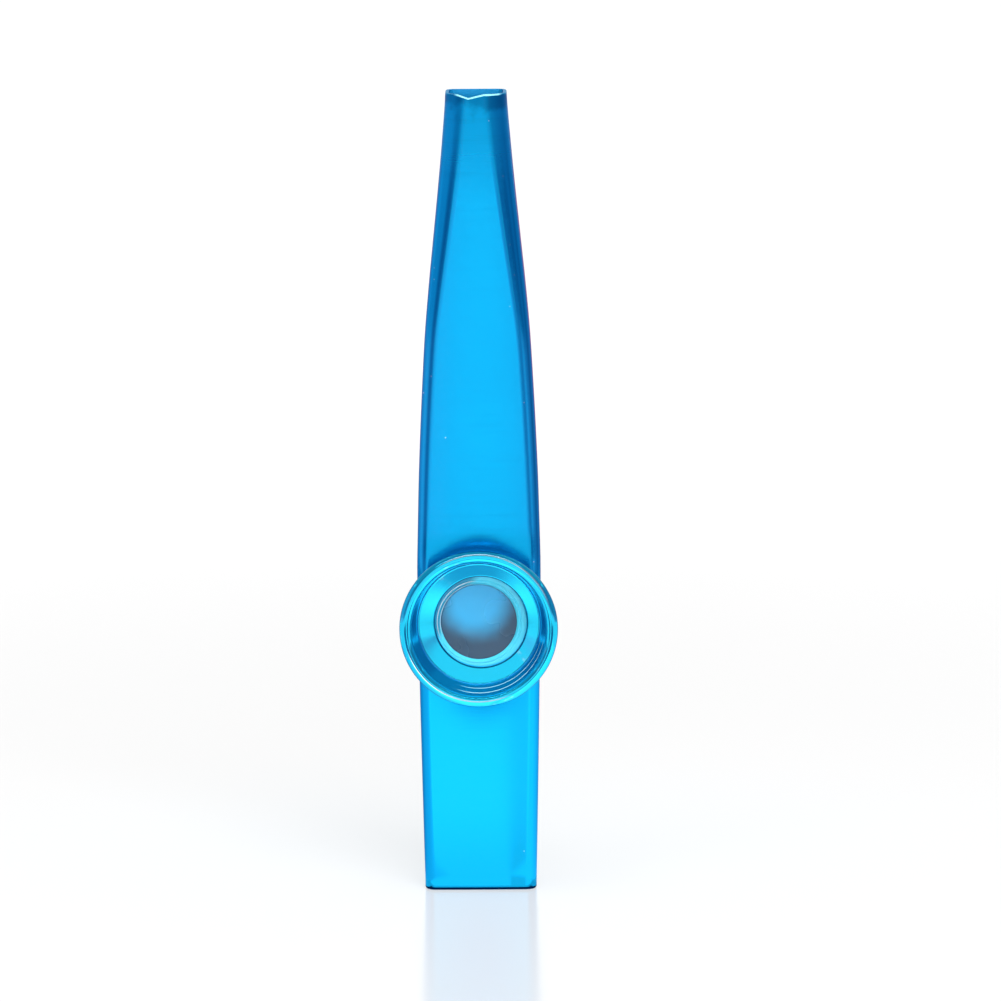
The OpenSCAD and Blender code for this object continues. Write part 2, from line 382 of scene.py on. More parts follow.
# Points and faces of a helical ridge, its root sunk in its carrier
def threadMesh(rootRadius, crestRadius, start):
    inward = -1 if crestRadius < rootRadius else 1
    base = rootRadius - inward * thread["sink"]
    flank = (thread["rootWidth"] - thread["crestWidth"]) / 2 / thread["depth"]
    baseWidth = thread["rootWidth"] + 2 * thread["sink"] * flank
    crest = thread["crestWidth"] / 2
    count = round(thread["turns"] * thread["stepsPerTurn"])
    points = []
    for i in range(count + 1):
        turn = 2 * math.pi * i / thread["stepsPerTurn"]
        mid = start + thread["pitch"] * i / thread["stepsPerTurn"]
        section = [(base, mid - baseWidth / 2), (base, mid + baseWidth / 2),
                   (crestRadius, mid + crest), (crestRadius, mid - crest)]
        points += [onTurret(r * math.cos(turn), r * math.sin(turn), h) for r, h in section]
    faces = ringFaces(count + 1, 4) + [(3, 2, 1, 0), tuple(4 * count + i for i in range(4))]
    return points, faces


def joined(first, second):
    offset = len(first[0])
    moved = [tuple(v + offset for v in face) for face in second[1]]
    return first[0] + second[0], first[1] + moved


def makeCollar():
    t = turret
    profile = rounded([
        (t["boreRadius"], -t["stakeDepth"], 0.08),
        (t["stakeRadius"], -t["stakeDepth"], 0.15),
        (t["stakeRadius"], -tube["wall"], 0),
        (t["spigotRadius"], -tube["wall"], 0),
        (t["spigotRadius"], 0, 0),
        (t["coreRadius"], 0, 0.05),
        (t["coreRadius"], t["ringLow"], 0.15),
        (t["boreRadius"], t["ringLow"], 0.1)])
    ridge = threadMesh(t["coreRadius"], t["coreRadius"] + thread["depth"], thread["start"])
    return newPiece("turretCollar", *joined(turnedMesh(profile), ridge))


def makeRings():
    t = turret
    groove = t["windowRadius"] + t["hoopBevel"] + t["grooveLand"]
    lower = rounded([
        (t["windowRadius"], t["ringLow"], 0.06), (t["membraneRadius"], t["ringLow"], 0.06),
        (t["membraneRadius"], t["filmLow"], 0.06), (t["windowRadius"], t["filmLow"], 0.06)])
    upper = rounded([
        (t["windowRadius"], t["filmHigh"], 0.04),
        (t["membraneRadius"], t["filmHigh"], 0.06),
        (t["membraneRadius"], t["hoopHigh"], 0.06),
        (groove + t["grooveWidth"], t["hoopHigh"], 0.03),
        (groove + t["grooveWidth"] / 2, t["hoopHigh"] - t["grooveDepth"], 0.03),
        (groove, t["hoopHigh"], 0.03),
        (t["windowRadius"] + t["hoopBevel"], t["hoopHigh"], 0.04),
        (t["windowRadius"], t["hoopHigh"] - t["hoopBevel"], 0.04)])
    return newPiece("lowerRing", *turnedMesh(lower)), newPiece("upperRing", *turnedMesh(upper))


# The film is a little slack: it sags inwards and has long shallow waves
def makeFilm():
    t = turret
    count, steps = 160, 44
    points, layers = [], []
    for h in (t["filmLow"], t["filmHigh"]):
        layer = []
        for k in range(1, steps + 1):
            r = t["filmRadius"] * k / steps
            free = max(0, 1 - (r / t["windowRadius"]) ** 2)
            for i in range(count):
                a = 2 * math.pi * i / count
                x, y = r * math.cos(a), r * math.sin(a)
                wave = sum(size * math.sin(u * x + v * y + start) for u, v, start, size in t["waves"])
                drop = free * (t["filmWave"] * wave - t["filmSag"])
                layer.append(len(points))
                points.append(onTurret(x, y, h + drop))
        centre = len(points)
        points.append(onTurret(0, 0, h + t["filmWave"] - t["filmSag"]))
        layers.append((layer, centre))
    faces = []
    for layer, centre in layers:
        for k in range(steps - 1):
            for i in range(count):
                j = (i + 1) % count
                faces.append((layer[k * count + i], layer[k * count + j],
                              layer[(k + 1) * count + j], layer[(k + 1) * count + i]))
        faces += [(centre, layer[i], layer[(i + 1) % count]) for i in range(count)]
    low, high = layers[0][0], layers[1][0]
    edge = (steps - 1) * count
    for i in range(count):
        j = (i + 1) % count
        faces.append((low[edge + i], low[edge + j], high[edge + j], high[edge + i]))
    return newPiece("film", points, faces)


def makeCap():
    c = cap
    bead = (c["lipRadius"] - c["beadRadius"], c["lipHeight"] - c["beadRadius"])
    lean = math.atan2(bead[0] - c["beadRadius"] - c["floorRadius"], bead[1] - c["floorHeight"])
    slope = math.atan2(c["floorHeight"] - c["holeTop"], c["floorRadius"] - c["holeRadius"])
    cornerTurn = math.pi / 2 - lean - slope
    reach = c["footFillet"] / math.tan((math.pi - cornerTurn) / 2)
    foot = (c["floorRadius"] + reach * math.sin(lean) - c["footFillet"] * math.cos(lean),
            c["floorHeight"] + reach * math.cos(lean) + c["footFillet"] * math.sin(lean))
    flareLow = (c["skirtRadius"], c["floorHeight"] - c["wall"])
    flareMid = (c["floorRadius"] + c["wall"] + (bead[0] - c["beadRadius"] - c["floorRadius"]) / 2,
                mix(c["floorHeight"], bead[1], 0.5))
    leanTurn, slopeTurn = math.degrees(lean), math.degrees(slope)
    edge = c["edge"]
    lip = arc(bead, c["beadRadius"], c["flareTurn"], 180 - leanTurn, 56)
    profile = rounded([
        (c["skirtBore"], c["skirtGap"], edge),
        (c["skirtRadius"], c["skirtGap"], edge),
        flareLow + (2,),
        flareMid + (3,),
        lip[0] + (0,),
        (c["skirtBore"], c["floorHeight"], 0)])[:-2]
    profile += lip
    profile += arc(foot, c["footFillet"], -leanTurn, slopeTurn - 90, 10)
    tail = rounded([
        (c["floorRadius"], c["floorHeight"], 0),
        (c["holeRadius"], c["holeTop"], c["holeEdge"]),
        (c["holeRadius"], turret["hoopHigh"], 0.05),
        (c["recessRadius"], turret["hoopHigh"], 0),
        (c["recessRadius"], c["stepHeight"], 0),
        (c["skirtBore"], c["stepHeight"], 0),
        (c["skirtBore"], c["skirtGap"], 0)])
    profile += tail[1:-1]

    # The hole is punched off the cap's axis, and its edge stays on the cone of the floor
    def punched(at, radius):
        x, y, h = at
        if radius > (c["holeRadius"] + c["recessRadius"]) / 2:
            return at
        x, y = x + c["holeShift"], y + c["holeRise"]
        if h > (turret["hoopHigh"] + c["holeTop"]) / 2:
            h += (math.hypot(x, y) - radius) * math.tan(slope)
        return x, y, h

    start = thread["start"] + thread["pitch"] / 2
    ridge = threadMesh(c["skirtBore"], c["skirtBore"] - thread["depth"], start)
    return newPiece("screwCap", *joined(turnedMesh(profile, punched), ridge))


tubePiece = makeTube()
print("tube made,", len(tubePiece.data.polygons), "faces")
collarPiece = makeCollar()
lowerRing, upperRing = makeRings()
filmPiece = makeFilm()
capPiece = makeCap()
print("turret, membrane and cap made")


# Helpers for node trees: a setting is a property of the node, or else the value of an input
def addNode(tree, kind, **settings):
    node = tree.nodes.new("ShaderNode" + kind)
    for name, value in settings.items():
        if hasattr(node, name):
            setattr(node, name, value)
        else:
            node.inputs[name].default_value = value
    return node


def link(tree, source, target):
    tree.links.new(source, target)


def calc(tree, operation, a, b=None, clamp=False):
    node = addNode(tree, "Math", operation=operation, use_clamp=clamp)
    for socket, value in zip(node.inputs, (a, b)):
        if isinstance(value, (int, float)):
            socket.default_value = value
        elif value is not None:
            link(tree, value, socket)
    return node.outputs[0]


def ramp(tree, source, low, high, toLow=0, toHigh=1):
    node = addNode(tree, "MapRange")
    node.interpolation_type = "SMOOTHSTEP"
    for name, value in (("From Min", low), ("From Max", high), ("To Min", toLow), ("To Max", toHigh)):
        node.inputs[name].default_value = value
    link(tree, source, node.inputs["Value"])
    return node.outputs["Result"]


def times(tree, a, b, clamp=False):
    return calc(tree, "MULTIPLY", a, b, clamp)


# The three parts of a vector
def split(tree, vector):
    parts = addNode(tree, "SeparateXYZ")
    link(tree, vector, parts.inputs[0])
    return parts.outputs


def lengthOf(tree, vector):
    node = addNode(tree, "VectorMath", operation="LENGTH")
    link(tree, vector, node.inputs[0])
    return node.outputs["Value"]


def noise(tree, place, scale, detail, **settings):
    node = addNode(tree, "TexNoise", Scale=scale, Detail=detail, **settings)
    link(tree, place, node.inputs["Vector"])
    return node.outputs["Fac"]


def objectPlace(tree):
    return addNode(tree, "TexCoord").outputs["Object"]


def normalParts(tree):
    return split(tree, addNode(tree, "NewGeometry").outputs["Normal"])


# 1 where the surface faces the front, and 0 elsewhere
def facesFront(tree):
    return ramp(tree, normalParts(tree)["Y"], -0.6, -0.2, 1, 0)


def mixShaders(tree, factor, first, second):
    node = addNode(tree, "MixShader")
    if isinstance(factor, (int, float)):
        node.inputs[0].default_value = factor
    else:
        link(tree, factor, node.inputs[0])
    link(tree, first.outputs[0], node.inputs[1])
    link(tree, second.outputs[0], node.inputs[2])
    return node


def addBump(tree, height, shader, strength, distance):
    bump = addNode(tree, "Bump", Strength=strength, Distance=distance)
    link(tree, height, bump.inputs["Height"])
    link(tree, bump.outputs[0], shader.inputs["Normal"])
    return bump


# A mix node's colour inputs are its sockets 6 and 7, and its colour output is socket 2
def mixColours(tree, factor, first, second):
    node = addNode(tree, "Mix", data_type="RGBA")
    for name, value in (("Factor", factor), (6, first), (7, second)):
        socket = node.inputs[name]
        if isinstance(value, (int, float, tuple)):
            socket.default_value = value
        else:
            link(tree, value, socket)
    return node.outputs[2]


# A material with nothing in it, its tree and the socket for its surface
def emptyMaterial(name):
    material = bpy.data.materials.new(name)
    material.use_nodes = True
    tree = material.node_tree
    tree.nodes.clear()
    return material, tree, addNode(tree, "OutputMaterial").inputs["Surface"]


def newGroup(name, inputs, outputs):
    group = bpy.data.node_groups.new(name, "ShaderNodeTree")
    for label, kind, value in inputs:
        socket = group.interface.new_socket(label, in_out="INPUT", socket_type=kind)
        if value is not None:
            socket.default_value = value
    for label, kind in outputs:
        group.interface.new_socket(label, in_out="OUTPUT", socket_type=kind)
    return group, group.nodes.new("NodeGroupInput"), group.nodes.new("NodeGroupOutput")


# Fine scratches: noise that the scale given stretches
def makeFineLines():
    group, start, end = newGroup("fineLines", [
        ("Place", "NodeSocketVector", None),
        ("Scale", "NodeSocketVector", (1, 1, 1)),
        ("Amount", "NodeSocketFloat", 1),
    ], [("Height", "NodeSocketFloat"), ("Mask", "NodeSocketFloat")])
    scaled = addNode(group, "VectorMath", operation="MULTIPLY")
    link(group, start.outputs["Place"], scaled.inputs[0])
    link(group, start.outputs["Scale"], scaled.inputs[1])
    fine = noise(group, scaled.outputs[0], 1.0, 3.0, Roughness=0.6)
    broad = noise(group, scaled.outputs[0], 0.13, 2.0)
    both = times(group, fine, broad)
    height = times(group, both, start.outputs["Amount"])
    mask = ramp(group, both, 0.25, 0.42)
    masked = times(group, mask, start.outputs["Amount"])
    link(group, height, end.inputs["Height"])
    link(group, masked, end.inputs["Mask"])
    return group


# Tiny nicks and grains of dust, scattered over the surface
def makeTinyMarks():
    group, start, end = newGroup("tinyMarks", [
        ("Place", "NodeSocketVector", None),
        ("Scale", "NodeSocketFloat", 400),
        ("Size", "NodeSocketFloat", 0.06),
        ("Share", "NodeSocketFloat", 0.1)], [("Mask", "NodeSocketFloat")])
    cells = addNode(group, "TexVoronoi", feature="F1")
    link(group, start.outputs["Place"], cells.inputs["Vector"])
    link(group, start.outputs["Scale"], cells.inputs["Scale"])
    inside = calc(group, "LESS_THAN", cells.outputs["Distance"], start.outputs["Size"])
    parts = addNode(group, "SeparateColor")
    link(group, cells.outputs["Color"], parts.inputs["Color"])
    chosen = calc(group, "LESS_THAN", parts.outputs[0], start.outputs["Share"])
    link(group, times(group, inside, chosen), end.inputs["Mask"])
    return group


# Worn edges, from how far a point stands proud of its neighbours
def makeEdgeWear():
    group, start, end = newGroup("edgeWear", [
        ("Place", "NodeSocketVector", None),
        ("Low", "NodeSocketFloat", 0.52),
        ("High", "NodeSocketFloat", 0.6),
        ("Amount", "NodeSocketFloat", 0.5)], [("Mask", "NodeSocketFloat")])
    shape = addNode(group, "NewGeometry")
    patchy = noise(group, start.outputs["Place"], 900.0, 3.0)
    spread = addNode(group, "MapRange")
    link(group, shape.outputs["Pointiness"], spread.inputs["Value"])
    link(group, start.outputs["Low"], spread.inputs["From Min"])
    link(group, start.outputs["High"], spread.inputs["From Max"])
    broken = ramp(group, patchy, 0.42, 0.58)
    worn = times(group, spread.outputs["Result"], broken)
    mask = times(group, worn, start.outputs["Amount"], clamp=True)
    link(group, mask, end.inputs["Mask"])
    return group


fineLines, tinyMarks, edgeWear = makeFineLines(), makeTinyMarks(), makeEdgeWear()

# Anodised aluminium: colours are linear, and places are in millimetres
metal = {
    "colour": (0.003, 0.40, 0.77, 1),
    "turnedColour": (0.020, 0.61, 0.88, 1),
    "worn": (0.42, 0.80, 0.95, 1),
    # Colour of the painted highlights: on the lip, round the foot of the cup's wall and in arcs on the wall
    "paintedHighlightColour": (0.82, 0.93, 0.98, 1),
    "edgeTint": (0.55, 0.85, 1.0, 1),
    "tubeRoughness": 0.14,
    "capRoughness": 0.08,
    "turnedMetallic": 0.94,
    "coat": 0.04,
    "coatRoughness": 0.05,
    "tubeLines": (260, 260, 9000),
    "turnedLines": (14000, 9000, 1),
    "lineHeight": 0.012,
    "lineDistance": 0.0004,
    "lineRoughness": 0.03,
    "tinyMarks": {"Scale": 620.0, "Size": 0.055, "Share": 0.05},
    "edgeWear": {"Low": 0.53, "High": 0.62, "Amount": 0.35},
    "cloudScale": 60.0,
    "cloudSpread": (0.9, 1.12),
    "markColour": (0.35, 0.75, 0.95, 1),
    # Painted highlights: pale bands on the lip's crest, shown only towards the upper right and lower left
    "lipHighlightBands": [(11.03, 0.13, 0.85, 0, 0.22)],
    "lipHighlightSides": [(0.34, 0, 0.94), (-0.42, 0, -0.91)],
    "lipHighlightFade": (6.6, 9),
    # Painted highlight: a pale line round the foot of the cup's wall
    "footHighlight": [(9.12, 0.07, 0.7, 0, 0)],
    # Painted shade: a dark ring round the hole's edge, where the cap meets the clear ring
    "holeShadeBands": [(6.92, 0.12, 0.9, cap["holeShift"], cap["holeRise"])],
    # Painted dark reflection on the lip's outer side
    "lipOutlineShade": (11.58, 11.68, 0.75),
    # Painted highlights: arcs round the cup's wall, shown towards its lower right and drawn less metallic
    # so that they stay pale
    "wallHighlightBands": [(9.25, 0.2, 0.8), (7.35, 0.18, 0.75)],
    "wallRadii": (9.95, 10.05),
    "wallHighlightSide": (0.5, 0, -0.866),
    "wallHighlightFade": (5.2, 8.6),
    "wallHighlightMetallic": 0.25,
    "patchyLeast": 0.6,
    "tipFrom": 102,
    "tipTo": 117,
    "tipRoughness": 0.22,
    "tipLines": 5,
    "specks": [(1.92, 116.1), (3.99, 107.8), (4.98, 97.6), (5.56, 93.1),
               (8.2, 50.1), (-6.9, 78), (6.9, 74)],
    "speckSize": 0.11,
    "speckShare": 0.55,
    # Colour of the painted shade round the hole and on the lip's outer side
    "paintedShadeColour": (0.002, 0.10, 0.22, 1),
    # Painted highlight on the front rim of the narrow end: its colour, metalness and extent
    "rimHighlightColour": (0.35, 0.9, 0.95, 1),
    "rimHighlightMetallic": 0.35,
    "rimHighlightFrom": 118,
    "rimHighlightBefore": -2,
    "rimHighlightLeft": -3.4,
    "rimHighlightRight": 4.0,
    "rimHighlightEase": 0.8,
    # Colour of the painted shade near the rim of the narrow end, also used for its brush lines
    "tipShade": (0.001, 0.19, 0.42, 1),
    "insideColour": (0.006, 0.24, 0.52, 1),
    "insideMetallic": 0.4,
    "insideHeights": (112, 115),
    "insideBehind": 2,
    "tipShadeScale": 420.0,
    "tipShadeReach": 6,
    "tipShadeHeights": (116.8, 119.2),
    "tipShadeShare": 0.8,
    "brushScale": (140, 140, 2600),
    "brushShare": 0.2,
}


def newMaterial(name):
    material, tree, surface = emptyMaterial(name)
    shader = addNode(tree, "BsdfPrincipled")
    link(tree, shader.outputs[0], surface)
    return material, tree, shader


def groupNode(tree, group, place, **values):
    node = addNode(tree, "Group")
    node.node_tree = group
    link(tree, place, node.inputs["Place"])
    for name, value in values.items():
        node.inputs[name].default_value = value
    return node


# Place on the turret as rings: distance from its axis, and the place along it
def turnedPlace(tree, place, shift=0, rise=0):
    parts = split(tree, place)
    across = calc(tree, "SUBTRACT", parts["X"], shift * mm)
    up = calc(tree, "SUBTRACT", parts["Z"], (turret["height"] + rise) * mm)
    squared = calc(tree, "ADD", calc(tree, "POWER", across, 2), calc(tree, "POWER", up, 2))
    rings = addNode(tree, "CombineXYZ")
    link(tree, calc(tree, "SQRT", squared), rings.inputs["X"])
    link(tree, parts["Y"], rings.inputs["Y"])
    return rings.outputs[0]


# A soft-edged band round a value: its middle and half width in millimetres, and its strength
def bandMask(tree, value, middle, half, strength):
    off = calc(tree, "ABSOLUTE", calc(tree, "SUBTRACT", value, middle * mm))
    return ramp(tree, off, half * 0.3 * mm, half * mm, strength, 0)


def largest(tree, masks):
    total = masks[0]
    for mask in masks[1:]:
        total = calc(tree, "MAXIMUM", total, mask)
    return total


# Painted rings of light or shade on the surfaces that face out of the turret
def paintedLightRings(tree, place, bands):
    front = facesFront(tree)
    masks = []
    for middle, half, strength, shift, rise in bands:
        parts = split(tree, turnedPlace(tree, place, shift, rise))
        masks.append(bandMask(tree, parts["X"], middle, half, strength))
    return times(tree, largest(tree, masks), front)


# Painted dark reflection on the lip's outer side, where it turns away from the front: two radii in
# millimetres and a strength
def lipDarkOutline(tree, place, edge):
    low, high, strength = edge
    facing = normalParts(tree)
    turned = ramp(tree, facing["Y"], -0.55, -0.3)
    front = ramp(tree, facing["Y"], -0.05, 0.1, strength, 0)
    radius = split(tree, turnedPlace(tree, place))
    far = ramp(tree, radius["X"], low * mm, high * mm)
    return times(tree, times(tree, turned, front), far)


# Rises from 0 to 1 away from the turret's axis on one side, between two distances in millimetres
def towards(tree, place, side, low, high):
    away = addNode(tree, "VectorMath", operation="SUBTRACT")
    link(tree, place, away.inputs[0])
    away.inputs[1].default_value = (0, 0, turret["height"] * mm)
    reach = addNode(tree, "VectorMath", operation="DOT_PRODUCT")
    link(tree, away.outputs[0], reach.inputs[0])
    reach.inputs[1].default_value = side
    return ramp(tree, reach.outputs["Value"], low * mm, high * mm)


# Painted highlight arcs round the cup's wall, which fade away from its lower right
def wallHighlightArcs(tree, place, ringPlace, bands):
    rings = split(tree, ringPlace)
    masks = []
    for height, half, strength in bands:
        middle = -turret["frontDepth"] - height
        masks.append(bandMask(tree, rings["Y"], middle, half, strength))
    low, high = metal["wallRadii"]
    inside = ramp(tree, rings["X"], low * mm, high * mm, 1, 0)
    shown = towards(tree, place, metal["wallHighlightSide"], *metal["wallHighlightFade"])
    mask = times(tree, largest(tree, masks), inside)
    return times(tree, mask, shown)


# Painted highlight on the front rim of the narrow end, where the cut faces upwards
def rimHighlight(tree, place):
    facing = normalParts(tree)
    parts = split(tree, place)
    up = ramp(tree, facing["Z"], 0.15, 0.35)
    high = calc(tree, "GREATER_THAN", parts["Z"], metal["rimHighlightFrom"] * mm)
    near = calc(tree, "LESS_THAN", parts["Y"], metal["rimHighlightBefore"] * mm)
    left, right, ease = metal["rimHighlightLeft"], metal["rimHighlightRight"], metal["rimHighlightEase"]
    rise = ramp(tree, parts["X"], left * mm, (left + ease) * mm)
    fall = ramp(tree, parts["X"], (right - ease) * mm, right * mm, 1, 0)
    high = times(tree, high, times(tree, rise, fall))
    return times(tree, up, times(tree, high, near))


# The back wall's inner side at the narrow end, drawn darker and less metallic
def insideTip(tree, place):
    parts = split(tree, place)
    low, high = metal["insideHeights"]
    above = ramp(tree, parts["Z"], low * mm, high * mm)
    behind = calc(tree, "GREATER_THAN", parts["Y"], metal["insideBehind"] * mm)
    return times(tree, facesFront(tree), times(tree, above, behind))


# Painted shade in patches towards the rim of the narrow end, and brush lines across it
def tipShadeAndBrushLines(tree, place, tip):
    parts = split(tree, place)
    off = calc(tree, "SUBTRACT", noise(tree, place, metal["tipShadeScale"], 3.0), 0.5)
    fall = times(tree, off, metal["tipShadeReach"] * mm)
    height = calc(tree, "ADD", parts["Z"], fall)
    low, high = metal["tipShadeHeights"]
    shade = ramp(tree, height, low * mm, high * mm, 0, metal["tipShadeShare"])
    lines = groupNode(tree, fineLines, place, Scale=metal["brushScale"], Amount=metal["brushShare"])
    brushed = times(tree, lines.outputs["Mask"], tip)
    return largest(tree, [shade, brushed])


# Pale specks at given places on the front: across and up, in millimetres
def frontSpecks(tree, place, places, size):
    masks = []
    for x, z in places:
        off = addNode(tree, "VectorMath", operation="MULTIPLY_ADD")
        link(tree, place, off.inputs[0])
        off.inputs[1].default_value = (1, 0, 1)
        off.inputs[2].default_value = (-x * mm, 0, -z * mm)
        reach = lengthOf(tree, off.outputs[0])
        masks.append(ramp(tree, reach, size * 0.5 * mm, size * mm, 1, 0))
    side = split(tree, place)
    front = calc(tree, "LESS_THAN", side["Y"], 0)
    return times(tree, largest(tree, masks), front)


# The look of the turned pieces: painted shade round the hole and on the lip's outer side, and painted
# highlights on the lip, round the foot of the cup's wall and in arcs on the wall
def turnedLook(tree, shader, place, linePlace, cloud, colour, metallic):
    # Painted shade round the hole's edge
    paintedDark = paintedLightRings(tree, place, metal["holeShadeBands"])
    colour = mixColours(tree, paintedDark, colour, metal["paintedShadeColour"])
    fade = metal["lipHighlightFade"]
    # Painted highlight on the lip's crest, only towards the upper right and lower left
    sides = largest(tree, [towards(tree, place, side, *fade) for side in metal["lipHighlightSides"]])
    lipHighlight = times(tree, paintedLightRings(tree, place, metal["lipHighlightBands"]), sides)
    # Painted highlight arcs on the cup's wall, drawn less metallic below
    wallHighlights = wallHighlightArcs(tree, place, linePlace, metal["wallHighlightBands"])
    paintedLight = largest(tree, [lipHighlight, paintedLightRings(tree, place, metal["footHighlight"]), wallHighlights])
    # Painted dark reflection on the lip's outer side
    colour = mixColours(tree, lipDarkOutline(tree, place, metal["lipOutlineShade"]), colour, metal["paintedShadeColour"])
    matt = ramp(tree, wallHighlights, 0, 0.5, metallic, metallic * metal["wallHighlightMetallic"])
    link(tree, matt, shader.inputs["Metallic"])
    patchy = ramp(tree, cloud, 0.3, 0.55, metal["patchyLeast"], 1)
    return mixColours(tree, times(tree, paintedLight, patchy), colour, metal["paintedHighlightColour"])


# The look of the tube: specks, brush lines and painted shade at the narrow end, a painted highlight on the
# rim, and a darker, less metallic inside at the end
def tubeLook(tree, shader, place, colour, rough, bump, metallic):
    specks = frontSpecks(tree, place, metal["specks"], metal["speckSize"])
    specks = times(tree, specks, metal["speckShare"])
    colour = mixColours(tree, specks, colour, metal["worn"])
    parts = split(tree, place)
    tip = ramp(tree, parts["Z"], metal["tipFrom"] * mm, metal["tipTo"] * mm)
    # Painted shade near the rim, and brush lines
    colour = mixColours(tree, tipShadeAndBrushLines(tree, place, tip), colour, metal["tipShade"])
    # Painted highlight on the front rim
    rim = rimHighlight(tree, place)
    colour = mixColours(tree, rim, colour, metal["rimHighlightColour"])
    rough = calc(tree, "ADD", rough, times(tree, tip, metal["tipRoughness"]))
    least, most = metal["lineHeight"], metal["lineHeight"] * metal["tipLines"]
    link(tree, ramp(tree, tip, 0, 1, least, most), bump.inputs["Strength"])
    inside = insideTip(tree, place)
    dull = times(tree, inside, metallic - metal["insideMetallic"])
    paintedLight = times(tree, rim, metallic - metal["rimHighlightMetallic"])
    less = largest(tree, [dull, paintedLight])
    link(tree, calc(tree, "SUBTRACT", metallic, less), shader.inputs["Metallic"])
    return mixColours(tree, inside, colour, metal["insideColour"]), rough


def makeMetal(name, base, roughness, lineScale, turned, metallic):
    material, tree, shader = newMaterial(name)
    place = objectPlace(tree)
    linePlace = turnedPlace(tree, place) if turned else place
    lines = groupNode(tree, fineLines, linePlace, Scale=lineScale, Amount=1.0)
    marks = groupNode(tree, tinyMarks, place, **metal["tinyMarks"])
    wear = groupNode(tree, edgeWear, place, **metal["edgeWear"])
    cloud = noise(tree, place, metal["cloudScale"], 4.0)
    colour = mixColours(tree, wear.outputs["Mask"], base, metal["worn"])
    colour = mixColours(tree, marks.outputs["Mask"], colour, metal["markColour"])
    low, high = (roughness * share for share in metal["cloudSpread"])
    soft = ramp(tree, cloud, 0.3, 0.7, low, high)
    lineRough = times(tree, lines.outputs["Mask"], metal["lineRoughness"])
    rough = calc(tree, "ADD", soft, lineRough)
    bump = addBump(tree, lines.outputs["Height"], shader, metal["lineHeight"], metal["lineDistance"])
    if turned:
        colour = turnedLook(tree, shader, place, linePlace, cloud, colour, metallic)
    else:
        colour, rough = tubeLook(tree, shader, place, colour, rough, bump, metallic)
    link(tree, colour, shader.inputs["Base Color"])
    link(tree, rough, shader.inputs["Roughness"])
    shader.inputs["Specular Tint"].default_value = metal["edgeTint"]
    shader.inputs["Coat Weight"].default_value = metal["coat"]
    shader.inputs["Coat Roughness"].default_value = metal["coatRoughness"]
    return material


tubeMetal = makeMetal("anodisedTube", metal["colour"], metal["tubeRoughness"], metal["tubeLines"], False, 1)
capMetal = makeMetal("anodisedTurned", metal["turnedColour"], metal["capRoughness"],
                     metal["turnedLines"], True, metal["turnedMetallic"])

plastic = {
    "colour": (0.10, 0.74, 0.95, 1),
    # Painted light on the left side: highlight lines of this colour at these radii, over painted shade
    "glintColour": (0.85, 0.95, 1.0, 1),
    "shade": (0.02, 0.30, 0.48, 1),
    "lines": [(6.2, 0.09, 0.9, 0, 0), (5.77, 0.07, 0.7, 0, 0)],
    "paintedLightSide": (-0.85, 0, 0.53),
    "paintedLightFade": (3.2, 4.8),
    "lineScale": (7000, 5000, 1),
    "lineHeight": 0.02,
    "lineDistance": 0.0003,
    "lineRoughness": 0.08,
    "tinyMarks": {"Scale": 700.0, "Size": 0.05, "Share": 0.06},
    "markColour": (0.6, 0.7, 0.75, 1),
    "roughness": 0.12,
    "ior": 1.46,
    "clear": 0.2,
}


# Clear moulded rings with faint haze, and on their left side painted shade and painted highlight lines
def makeClearPlastic():
    material, tree, shader = newMaterial("clearRing")
    place = objectPlace(tree)
    lines = groupNode(tree, fineLines, turnedPlace(tree, place), Scale=plastic["lineScale"], Amount=1.0)
    marks = groupNode(tree, tinyMarks, place, **plastic["tinyMarks"])
    haze = times(tree, lines.outputs["Mask"], plastic["lineRoughness"])
    link(tree, calc(tree, "ADD", haze, plastic["roughness"]), shader.inputs["Roughness"])
    colour = mixColours(tree, marks.outputs["Mask"], plastic["colour"], plastic["markColour"])
    # Painted shade and painted highlight lines on the left side
    shown = towards(tree, place, plastic["paintedLightSide"], *plastic["paintedLightFade"])
    colour = mixColours(tree, shown, colour, plastic["shade"])
    paintedLight = times(tree, paintedLightRings(tree, place, plastic["lines"]), shown)
    colour = mixColours(tree, paintedLight, colour, plastic["glintColour"])
    link(tree, colour, shader.inputs["Base Color"])
    addBump(tree, lines.outputs["Height"], shader, plastic["lineHeight"], plastic["lineDistance"])
    shader.inputs["Transmission Weight"].default_value = plastic["clear"]
    shader.inputs["IOR"].default_value = plastic["ior"]
    return material


film = {
    # Painted light and shade: the film's colour at the upper left and towards the lower right, and a
    # painted shadow at its edge
    "light": (0.03, 0.40, 0.72, 1),
    "paintedDark": (0.025, 0.072, 0.125, 1),
    "edge": (0.02, 0.05, 0.10, 1),
    "paintedLightAt": (-0.3, 3.3),
    "paintedLightInner": 2.9,
    "paintedLightOuter": 7.1,
    "cloudScale": 160.0,
    "cloudReach": 3,
    "rimFade": (-0.25, 0.05),
    "grainScale": 900.0,
    "grainHeight": 0.05,
    "grainDistance": 0.0002,
    "roughness": 0.28,
    "clear": 0.15,
    "ior": 1.5,
}


